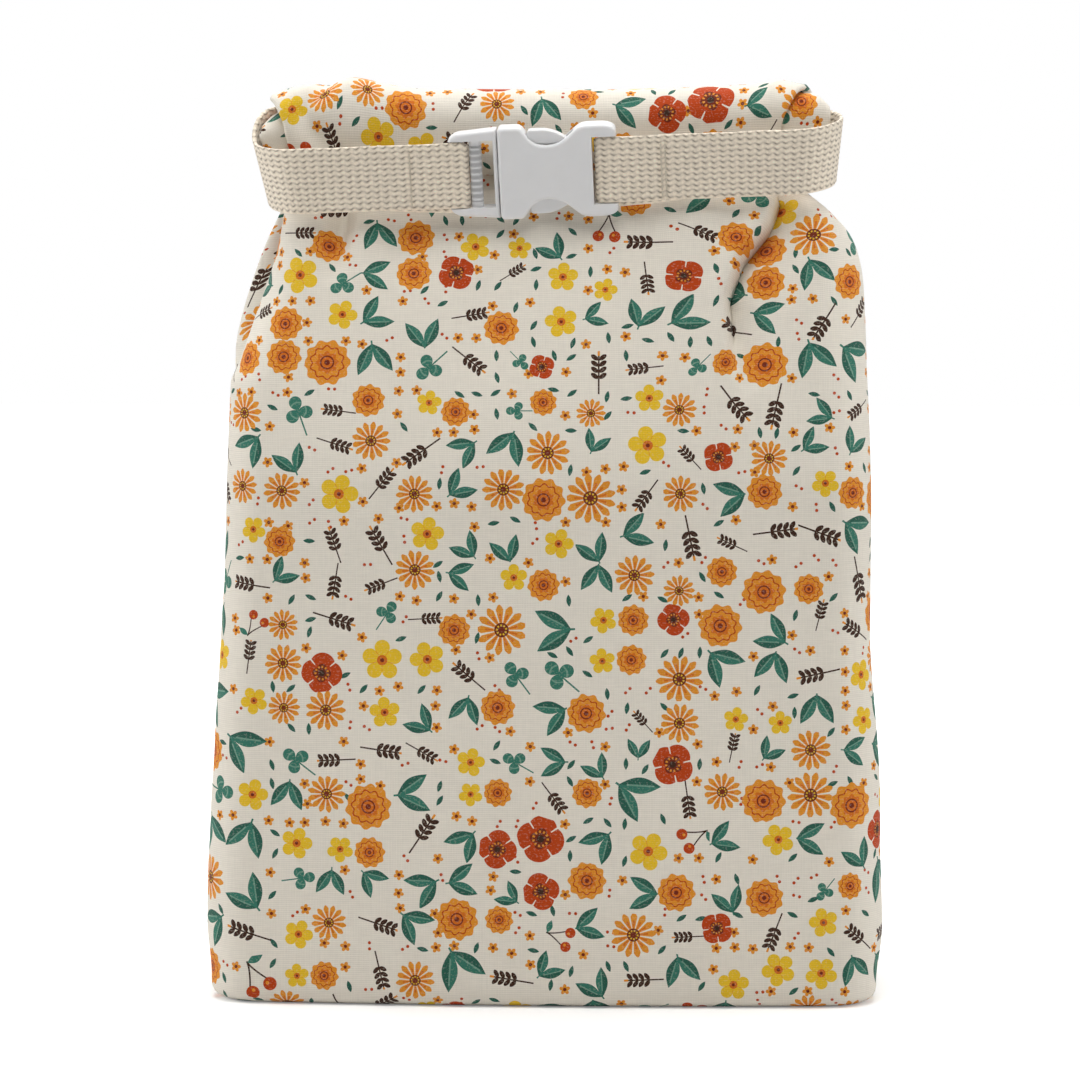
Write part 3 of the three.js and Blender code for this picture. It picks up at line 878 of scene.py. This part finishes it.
def make_body():
    """The bag's outside with its folds: points, normals and cloth coordinates."""
    points = body_rows()
    front, back, up = cloth_coordinates(points)
    heights = points[:, :, 2]
    wall = heights >= BOTTOM_RADIUS
    half = 2 * QUARTER
    u = np.concatenate([front[:, :-1], back[:, :-1] + BACK_PRINT], axis=1)

    change = np.zeros(heights.shape)
    change[:, :half] += folded(front[:, :-1], heights[:, :half], FRONT_FOLDS)
    change[:, half:] += folded(back[:, :-1], heights[:, half:], BACK_FOLDS)
    for wrinkle in WRINKLES:
        change += waves(u, heights, *wrinkle)
    change += ease(heights, *GATHERS_GROW) * waves(u, heights, *GATHERS)
    for seam in (0, half):
        columns = np.arange(4 * QUARTER)
        gap = np.minimum((columns - seam) % (4 * QUARTER), (seam - columns) % (4 * QUARTER))
        change -= SEAM_DEPTH * hump(gap, SEAM_SPREAD)
    change *= ease(heights, 0, FLAT_FOOT) * wall
    sideways = np.roll(points, -1, axis=1) - np.roll(points, 1, axis=1)
    sideways /= np.linalg.norm(sideways, axis=-1, keepdims=True)
    shift = np.zeros(heights.shape)
    shift[:, :half] = lip_shift(front[:, :-1], heights[:, :half]) * wall[:, :half]
    points = points + surface_normals(points) * change[:, :, None] + sideways * shift[:, :, None]
    return points, surface_normals(points), front, back, up


def ring_faces(row_count, column_count):
    """Faces between closed rings of points."""
    faces = []
    for row in range(row_count - 1):
        low, high = row * column_count, (row + 1) * column_count
        for column in range(column_count):
            after = (column + 1) % column_count
            faces.append((low + column, low + after, high + after, high + column))
    return faces


def closed_tube(row_count, column_count):
    """Faces between closed rings of points, with a face over each end."""
    first = tuple(range(column_count))[::-1]
    last = tuple(range((row_count - 1) * column_count, row_count * column_count))
    return ring_faces(row_count, column_count) + [first, last]


def ring_uvs(front, back, up):
    """Cloth coordinates at the corners of ring_faces, kept apart at the side seams."""
    across = np.concatenate([front[:, :-1], back[:, :-1] + BACK_PRINT], axis=1)
    across_after = np.concatenate([front[:, 1:], back[:, 1:] + BACK_PRINT], axis=1)
    rows = np.repeat(up[:, None], across.shape[1], axis=1)
    corners = [
        (across[:-1], rows[:-1]),
        (across_after[:-1], rows[:-1]),
        (across_after[1:], rows[1:]),
        (across[1:], rows[1:]),
    ]
    return np.stack([np.stack(corner, axis=-1) for corner in corners], axis=2).reshape(-1, 2)


def closing_faces(column_count):
    """Faces across the slit that is left in the middle of the base, with a triangle at each end."""
    half = column_count // 2
    strips = [(j, column_count - j, column_count - j - 1, j + 1) for j in range(1, half - 1)]
    return [(0, column_count - 1, 1)] + strips + [(half - 1, half + 1, half)]


def shell(name, points, front, back, up, material, inward):
    """A body-shaped shell with its base closed."""
    faces = ring_faces(points.shape[0], points.shape[1])
    uvs = ring_uvs(front, back, up)
    closing = closing_faces(points.shape[1])
    corner_uvs = np.concatenate([uvs, at_corners(points[0, :, :2], closing)])
    piece = mesh_object(name, points, faces + closing, corner_uvs, material)
    if inward:
        piece.data.flip_normals()
    return piece


body_points, body_normals, front_u, back_u, body_up = make_body()

rim_rows = [body_points[-1] - body_normals[-1] * inset + (0, 0, lift) for inset, lift in RIM_TURN]
for below in range(1, HEM_ROWS + 1):
    rim_rows.append(body_points[-1 - below] - body_normals[-1 - below] * HEM_INSET)
canvas_points = np.concatenate([body_points, np.array(rim_rows)])
rim_up = np.cumsum([RIM_STEP] * len(RIM_TURN) + [HEM_STEP] * HEM_ROWS)
canvas_up = np.concatenate([body_up, body_up[-1] + rim_up])
canvas_front = np.concatenate([front_u, np.repeat(front_u[-1:], len(rim_rows), axis=0)])
canvas_back = np.concatenate([back_u, np.repeat(back_u[-1:], len(rim_rows), axis=0)])
bag_canvas = shell("bag_canvas", canvas_points, canvas_front, canvas_back, canvas_up, canvas, inward=False)
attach(bag_canvas, "bag")
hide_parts("front_canvas", "back_canvas", "base_canvas")

lining_rows = slice(0, -LINING_SHORT_ROWS)
closing_in = ease(body_points[lining_rows, :, 2], *LINING_CLOSES)
lining_inset = LINING_INSET - (LINING_INSET - NECK_LINING_INSET) * closing_in
lining_points = body_points[lining_rows] - body_normals[lining_rows] * lining_inset[:, :, None]
lining_points[:, :, 2] = np.maximum(lining_points[:, :, 2], LINING_INSET)
lining_place = (front_u[lining_rows], back_u[lining_rows], body_up[lining_rows])
bag_lining = shell("bag_lining", lining_points, *lining_place, lining, inward=True)
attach(bag_lining, "bag")
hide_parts("front_lining", "back_lining", "base_lining")


# Rolled mouth

# Where the cloth ends on the left and on the right at each turn: the turns have slipped past each other.
ROLL_LEFT = [
    (0, -103), (0.2, -103), (0.25, -104), (0.32, -103.5), (0.36, -102), (0.5, -98), (0.62, -96.5),
    (0.75, -98), (0.9, -104), (1.12, -104.5), (1.25, -104), (1.38, -106.5), (1.5, -107.5), (1.62, -107),
    (1.75, -104), (2.0, -101), (2.5, -96),
]
ROLL_RIGHT = [
    (0, 103), (0.25, 98.5), (0.36, 94), (0.5, 89), (0.62, 86), (0.75, 91), (1.0, 103), (1.2, 99), (1.3, 103),
    (1.4, 107), (1.5, 107), (2.0, 104), (2.5, 103),
]

# Turns where the cloth passes over the top, where its outermost layer ends and where the inner ones start
TOP_TURN = 0.25
OUTER_TURN = (0.75, 0.45)
INNER_TURNS = (0.85, 1.1)

# Humps along the top: height, place and spread. Between them it lies a little low, and the left end sags.
ROLL_HUMPS = ((4.4, -75, 18), (2.2, 86, 30))
ROLL_TOP_LOW = 0.2
END_SAG = 2.6
END_SAG_GROWS = (95, 109)
INNER_SAG = 5.0
INNER_SAG_GROWS = (88, 106)
TOP_GROWS = (318, 344)
INNER_TOP_GROWS = (318, 340)

# A pleat near the left end as a fold's path, widths, depth and lifts, and a right edge that swells before it
# ends: height, how far in and spread
ROLL_PLEAT = (
    [(-78, 9, 0), (-82, 0, 0.9), (-91, -15, 1), (-86, -24, 0.8), (-82, -32, 0)],
    (4.5, 4.5), 3.2, [(9, 6, 0.8)],
)
EDGE_SWELL = (1.6, 10, 6)

# How much the strap draws the roll's lower part in, on the left and on the right, and where
LEFT_DRAW = 0.05
RIGHT_DRAW = 0.085
DRAWN_HEIGHTS = (309, 334)
DRAWN_ENDS = (55, 104)


def roll_spine():
    """The middle of the rolled cloth from its end: (y, z) points, outward normals, turns, lengths."""
    straight = ROLL_HEIGHT / 2 - ROLL_THICKNESS / 2
    middle = ROLL_BOTTOM + ROLL_HEIGHT / 2
    outer = ROLL_THICKNESS / 2 - ROLL_CLOTH / 2
    points = [(ROLL_MIDDLE_Y + outer, ROLL_BOTTOM)]
    turns = [0.0]
    for half in range(ROLL_HALF_TURNS):
        centre = middle + straight if half % 2 == 0 else middle - straight
        for share in np.linspace(0, 1, HALF_TURN_STEPS):
            turn = (half + share) / 2
            radius = outer - ROLL_PITCH * turn
            angle = 2 * math.pi * turn
            points.append((ROLL_MIDDLE_Y + radius * math.cos(angle), centre + radius * math.sin(angle)))
            turns.append(turn)
    line, even, along = resampled(np.array(points), ROLL_STEP)
    return line, side_normals(line), np.interp(even, along, turns), even


def roll_top_line(x):
    """How far the roll's top stands above or below its plain height."""
    humps = sum(height * hump(x - place, spread) for height, place, spread in ROLL_HUMPS)
    return humps - ROLL_TOP_LOW - END_SAG * ease(-x, *END_SAG_GROWS)


def make_roll():
    """The rolled cloth as one closed solid, with slight waves along it."""
    line, outward, turns, along = roll_spine()
    left = np.interp(turns, *zip(*ROLL_LEFT))
    right = np.interp(turns, *zip(*ROLL_RIGHT))
    share = np.linspace(0, 1, ROLL_COLUMNS)
    x = left[:, None] + (right - left)[:, None] * share
    half = ROLL_CLOTH / 2

    outside = ease(turns, *OUTER_TURN)[:, None]
    inside = ease(turns, *INNER_TURNS)[:, None]
    down = (along - np.interp(TOP_TURN, turns, along))[:, None] + np.zeros_like(x)
    swell, swell_place, swell_spread = EDGE_SWELL
    lift = waves(x, down, *ROLL_WAVES)
    lift = lift + outside * stroke(x, -down, *ROLL_PLEAT)
    lift = lift + swell * outside * hump(x - right[:, None] + swell_place, swell_spread)

    faces_out = []
    for offset, reach in ((half, 0.0), (0.0, half * ROLL_END_BULGE), (-half, 0.0)):
        normal_offset = offset + lift
        ring_x = x.copy()
        ring_x[:, 0] -= reach
        ring_x[:, -1] += reach
        y = line[:, 0, None] + outward[:, 0, None] * normal_offset
        z = line[:, 1, None] + outward[:, 1, None] * normal_offset
        low = 1 - ease(z, *DRAWN_HEIGHTS)
        squeeze = np.where(ring_x < 0, LEFT_DRAW, RIGHT_DRAW) * low * ease(np.abs(ring_x), *DRAWN_ENDS)
        z = z + roll_top_line(ring_x) * ease(z, *TOP_GROWS)
        z = z - INNER_SAG * inside * ease(-ring_x, *INNER_SAG_GROWS) * ease(z, *INNER_TOP_GROWS)
        faces_out.append(np.stack([ring_x * (1 - squeeze), y, z], axis=-1))
    outer, middle, inner = faces_out

    # Each row is a closed loop: the outer face, the right end, the inner face and the left end.
    loop = np.concatenate([outer, middle[:, -1:], inner[:, ::-1], middle[:, :1]], axis=1)
    rows, columns = loop.shape[:2]
    loop_u = np.concatenate([x, right[:, None] + half, x[:, ::-1], left[:, None] - half], axis=1)
    loop_v = np.repeat(along[:, None], columns, axis=1)
    uv = np.stack([loop_u + ROLL_PRINT, loop_v], axis=-1).reshape(-1, 2)
    faces = closed_tube(rows, columns)
    return mesh_object("rolled_mouth", loop, faces, at_corners(uv, faces), canvas)


roll = make_roll()
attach(roll, "roll_top")
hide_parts("rolled_canvas", "rolled_lining")


# Cloth that runs from the back wall up into the roll

FOLD_START = 300
FOLD_RISE = (318, 320, 322)
FOLD_OUTSET = 0.1
FOLD_CLEARANCE = 0.6


def make_back_fold():
    edge = SIDE_STEPS + CORNER_STEPS
    columns = slice(2 * QUARTER + edge, 4 * QUARTER - edge + 1)
    wall = body_points[:, QUARTER, 2] > FOLD_START
    rows = body_points[wall, columns] + body_normals[wall, columns] * FOLD_OUTSET
    top = rows[-1].copy()
    top[:, 1] = ROLL_MIDDLE_Y + ROLL_THICKNESS / 2 + FOLD_CLEARANCE
    risen = np.array([top * (1, 1, 0) + (0, 0, z) for z in FOLD_RISE])
    points = np.concatenate([rows, risen])
    up = np.concatenate([body_up[wall], body_up[-1] + np.array(FOLD_RISE) - NECK_TOP])
    back_columns = slice(edge, 2 * QUARTER - edge + 1)
    u = np.repeat(back_u[-1:, back_columns] + BACK_PRINT, len(points), axis=0)
    u[: len(rows)] = back_u[wall, back_columns] + BACK_PRINT
    row_count, column_count = u.shape
    uv = np.stack([u, np.repeat(up[:, None], column_count, axis=1)], axis=-1).reshape(-1, 2)
    faces = []
    for row in range(row_count - 1):
        for low in range(row * column_count, (row + 1) * column_count - 1):
            faces.append((low, low + 1, low + column_count + 1, low + column_count))
    return mesh_object("back_fold", points, faces, at_corners(uv, faces), canvas)


back_fold = make_back_fold()
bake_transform(back_fold)


# Webbing strap

def arc(centre, radii, start, end, steps):
    """Points round part of an ellipse, between two angles in degrees."""
    angles = np.radians(np.linspace(start, end, steps))
    return [(centre[0] + radii[0] * math.cos(a), centre[1] + radii[1] * math.sin(a)) for a in angles]


def strap_line(bar_x):
    """Half of the strap: from its folded tail round the buckle's bar, along the front and to mid back."""
    side, end, wrap = (-1, STRAP_LEFT_END, PLUG_WRAP) if bar_x < 0 else (1, STRAP_RIGHT_END, SOCKET_WRAP)
    tail_y = FRONT_RUN_Y + STRAP_THICKNESS + TAIL_GAP
    reach = abs(bar_x)
    half_depth = (BACK_RUN_Y - FRONT_RUN_Y) / 2
    points = [(reach + STRAP_TAIL, tail_y), (reach + TAIL_TAPER, tail_y)]
    points += arc((reach, BUCKLE_Y), (wrap, WRAP_RADIUS), 90, 270, LOOP_STEPS)
    points += arc((end - STRAP_TURN, FRONT_RUN_Y + half_depth), (STRAP_TURN, half_depth), -90, 90, TURN_STEPS)
    points += [(0, BACK_RUN_Y)]
    return np.array(points) * (side, 1)


def strap_profile():
    """The strap's section: places across it and out from its middle, with softly rounded edges."""
    half_width = STRAP_WIDTH / 2
    inner = np.linspace(-half_width + EDGE_WIDTH, half_width - EDGE_WIDTH, PROFILE_STEPS)
    across = np.concatenate([[-half_width + EDGE_INSET], inner, [half_width - EDGE_INSET]])
    thick = np.concatenate([[EDGE_SHARE], np.ones(len(inner)), [EDGE_SHARE]]) * STRAP_THICKNESS / 2
    front = np.stack([across, thick], axis=1)
    back = np.stack([across, -thick], axis=1)[::-1]
    return np.concatenate([front, [[half_width, 0.0]], back, [[-half_width, 0.0]]])


def strap_piece(name, bar_x, squeeze, back_lift, stitch_rows):
    """A length of webbing. squeeze is how far its lower edge draws in at the end of the roll,
    and back_lift is how much higher it runs behind the roll."""
    line, even, _ = resampled(strap_line(bar_x), STRAP_STEP)
    for _ in range(STRAP_SMOOTHING):
        line[1:-1] = (line[:-2] + 2 * line[1:-1] + line[2:]) / 4
    outward = side_normals(line)

    profile = strap_profile()
    rows, columns = len(line), len(profile)
    across = np.repeat(profile[None, :, 0], rows, axis=0)
    x = line[:, 0, None] + outward[:, 0, None] * profile[None, :, 1]
    y = line[:, 1, None] + outward[:, 1, None] * profile[None, :, 1]

    # Wavering edges, a tail folded back askew, a raised back run and a lower edge drawn in at the end
    length = np.repeat(even[:, None], columns, axis=1)
    wander = soft_noise(length / WANDER_LENGTH, np.sign(across), WANDER_SEED)
    skew = np.interp(even, (0, STRAP_TAIL, STRAP_TAIL + SKEW_FADE), (0, -TAIL_SKEW, 0))[:, None]
    on_edge = np.abs(across) > STRAP_WIDTH / 2 - WANDER_WIDTH
    z = across + EDGE_WANDER * wander * on_edge + skew
    z = z + back_lift * ease(y, *BACK_RUN_STARTS) * ease(np.abs(x), *LIFT_GROWS)
    draw = squeeze * ease(np.abs(x), *DRAW_GROWS) * (STRAP_WIDTH / 2 - across) / STRAP_WIDTH
    front_run = y < FRONT_RUN_Y + STRAP_THICKNESS / 2 + TAIL_GAP / 2
    for row_x in stitch_rows:
        y = y + GROOVE_DEPTH * front_run * hump(x - row_x, GROOVE_WIDTH)
    x = x - np.sign(bar_x) * draw
    local = np.stack([x, y, z], axis=-1).reshape(-1, 3)
    placed = np.array([strap_frame @ Vector(point) for point in local])

    uv = np.stack([length, across], axis=-1).reshape(-1, 2)
    faces = closed_tube(rows, columns)
    piece = mesh_object(name, placed, faces, at_corners(uv, faces), webbing)
    return piece


def stitching(name, stitch_rows, body):
    """Stitches in rows across the strap's front, each dipping into the webbing at both ends."""
    share = np.linspace(0, 1, STITCH_RINGS)[:, None]
    turn = np.linspace(0, 2 * math.pi, STITCH_SIDES, endpoint=False)[None, :]
    face_y = FRONT_RUN_Y - STRAP_THICKNESS / 2 + GROOVE_DEPTH
    points, faces, corner_uvs = [], [], []
    for row_x in stitch_rows:
        for start in np.arange(-STITCH_REACH, STITCH_REACH - STITCH_LENGTH, STITCH_STEP):
            x = row_x + STITCH_RADIUS * np.cos(turn) + 0 * share
            y = face_y - STITCH_RISE * np.sin(share * math.pi) + STITCH_RADIUS * np.sin(turn)
            z = start + share * STITCH_LENGTH + 0 * turn
            uv = np.stack([z, turn * STITCH_RADIUS + 0 * share], axis=-1).reshape(-1, 2)
            tube = ring_faces(*x.shape)
            faces += [tuple(corner + len(points) for corner in face) for face in tube]
            corner_uvs.append(at_corners(uv, tube))
            points += [strap_frame @ Vector(place) for place in np.stack([x, y, z], axis=-1).reshape(-1, 3)]
    piece = mesh_object(name, np.array(points), faces, corner_uvs, thread)
    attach(piece, body)


left_strap = strap_piece("left_strap", PLUG_BAR_X, squeeze=4.5, back_lift=9.5, stitch_rows=LEFT_STITCHES)
right_strap = strap_piece("right_strap", SOCKET_BAR_X, squeeze=3.5, back_lift=0.0, stitch_rows=RIGHT_STITCHES)
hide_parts("left_strap_end", "back_strap")
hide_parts("right_strap_end")
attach(right_strap, "roll_top")
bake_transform(left_strap)
stitching("left_stitches", LEFT_STITCHES, "plug_half")
stitching("right_stitches", RIGHT_STITCHES, "roll_top")


# Buckle

for node in ("buckle_socket", "buckle_plug", "upper_catch_arm", "lower_catch_arm"):
    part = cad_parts[node]
    part.data.materials.clear()
    part.data.materials.append(plastic)


# Studio, in metres

FLOOR_HALF = 4
FLOOR_FADE = 0.9
FLOOR_GLOW = 0.16
BACKDROP_LIGHT = 0.03

# Lights: place, aim, width, power and colour
LIGHTS = {
    "above_front": ((0, -0.6, 1.45), (0, 0, 0.2), 1.0, 10.8, (1, 0.99, 0.97)),
    "above": ((0, 0, 1.5), (0, 0, 0.2), 1.0, 6, (1, 1, 1)),
    "above_back": ((0, 0.7, 1.3), (0, 0, 0.25), 1.2, 10, (1, 1, 1)),
    "left": ((-1.3, 0.05, 0.6), (0, 0, 0.2), 1.0, 8, (1, 1, 1)),
    "right": ((1.3, 0.05, 0.6), (0, 0, 0.2), 1.0, 6.5, (1, 1, 1)),
}


def area_light(name, place, aim, size, power, colour):
    data = bpy.data.lights.new(name, "AREA")
    data.size = size
    data.energy = power
    data.color = colour
    light = add_object(name, data)
    light.location = place
    light.rotation_euler = (Vector(aim) - Vector(place)).to_track_quat("-Z", "Y").to_euler()


def make_floor():
    """A pale floor that fades into the white backdrop away from the bag."""
    material, tree, shader = new_material("studio_floor")
    dust = noise_term(tree, object_place(tree, 120.0), 3.0)
    tone = mixed(linear(244, 244, 244), linear(249, 249, 249), dust)
    tree.links.new(tone, shader.inputs["Base Color"])
    shader.inputs["Roughness"].default_value = 0.95
    source = tree.nodes.new("ShaderNodeTexCoord").outputs["Object"]
    far = Term(tree, add_node(tree, "VectorMath", {0: source}, operation="LENGTH").outputs["Value"])
    seen = Term(tree, tree.nodes.new("ShaderNodeLightPath").outputs["Is Camera Ray"])
    glow = (far * FLOOR_FADE).math("MINIMUM", 1.0) + FLOOR_GLOW
    shader.inputs["Emission Color"].default_value = (1, 1, 1, 1)
    tree.links.new((glow & seen).socket, shader.inputs["Emission Strength"])
    mesh = bpy.data.meshes.new("floor")
    corners = [(x * FLOOR_HALF, y * FLOOR_HALF, 0) for x, y in ((-1, -1), (1, -1), (1, 1), (-1, 1))]
    mesh.from_pydata(corners, [], [(0, 1, 2, 3)])
    mesh.materials.append(material)
    floor = add_object("floor", mesh)


def make_backdrop(light):
    """White all round: full white where the camera looks, and a softer light on the bag."""
    world = bpy.data.worlds.new("studio")
    world.use_nodes = True
    tree = world.node_tree
    background = tree.nodes["Background"]
    background.inputs["Color"].default_value = (1, 1, 1, 1)
    seen = Term(tree, tree.nodes.new("ShaderNodeLightPath").outputs["Is Camera Ray"])
    tree.links.new((seen * (1.0 - light) + light).socket, background.inputs["Strength"])
    bpy.context.scene.world = world


make_floor()
make_backdrop(BACKDROP_LIGHT)
for light_name, setting in LIGHTS.items():
    area_light(light_name, *setting)


# Camera

CAMERA_DISTANCE = 1.65
CAMERA_AZIMUTH = math.radians(2.5)
CAMERA_ELEVATION = math.radians(5)
CAMERA_TARGET = Vector((-0.0023, 0, 0.1728))
CAMERA_ANGLE = math.radians(14.35)

lens = bpy.data.cameras.new("camera")
lens.angle = CAMERA_ANGLE
camera = add_object("camera", lens)
level = Vector((math.sin(CAMERA_AZIMUTH), -math.cos(CAMERA_AZIMUTH), 0)) * math.cos(CAMERA_ELEVATION)
away = level + Vector((0, 0, math.sin(CAMERA_ELEVATION)))
camera.location = CAMERA_TARGET + away * CAMERA_DISTANCE
camera.rotation_euler = (-away).to_track_quat("-Z", "Y").to_euler()
bpy.context.scene.camera = camera
bpy.context.scene.view_settings.view_transform = "Standard"
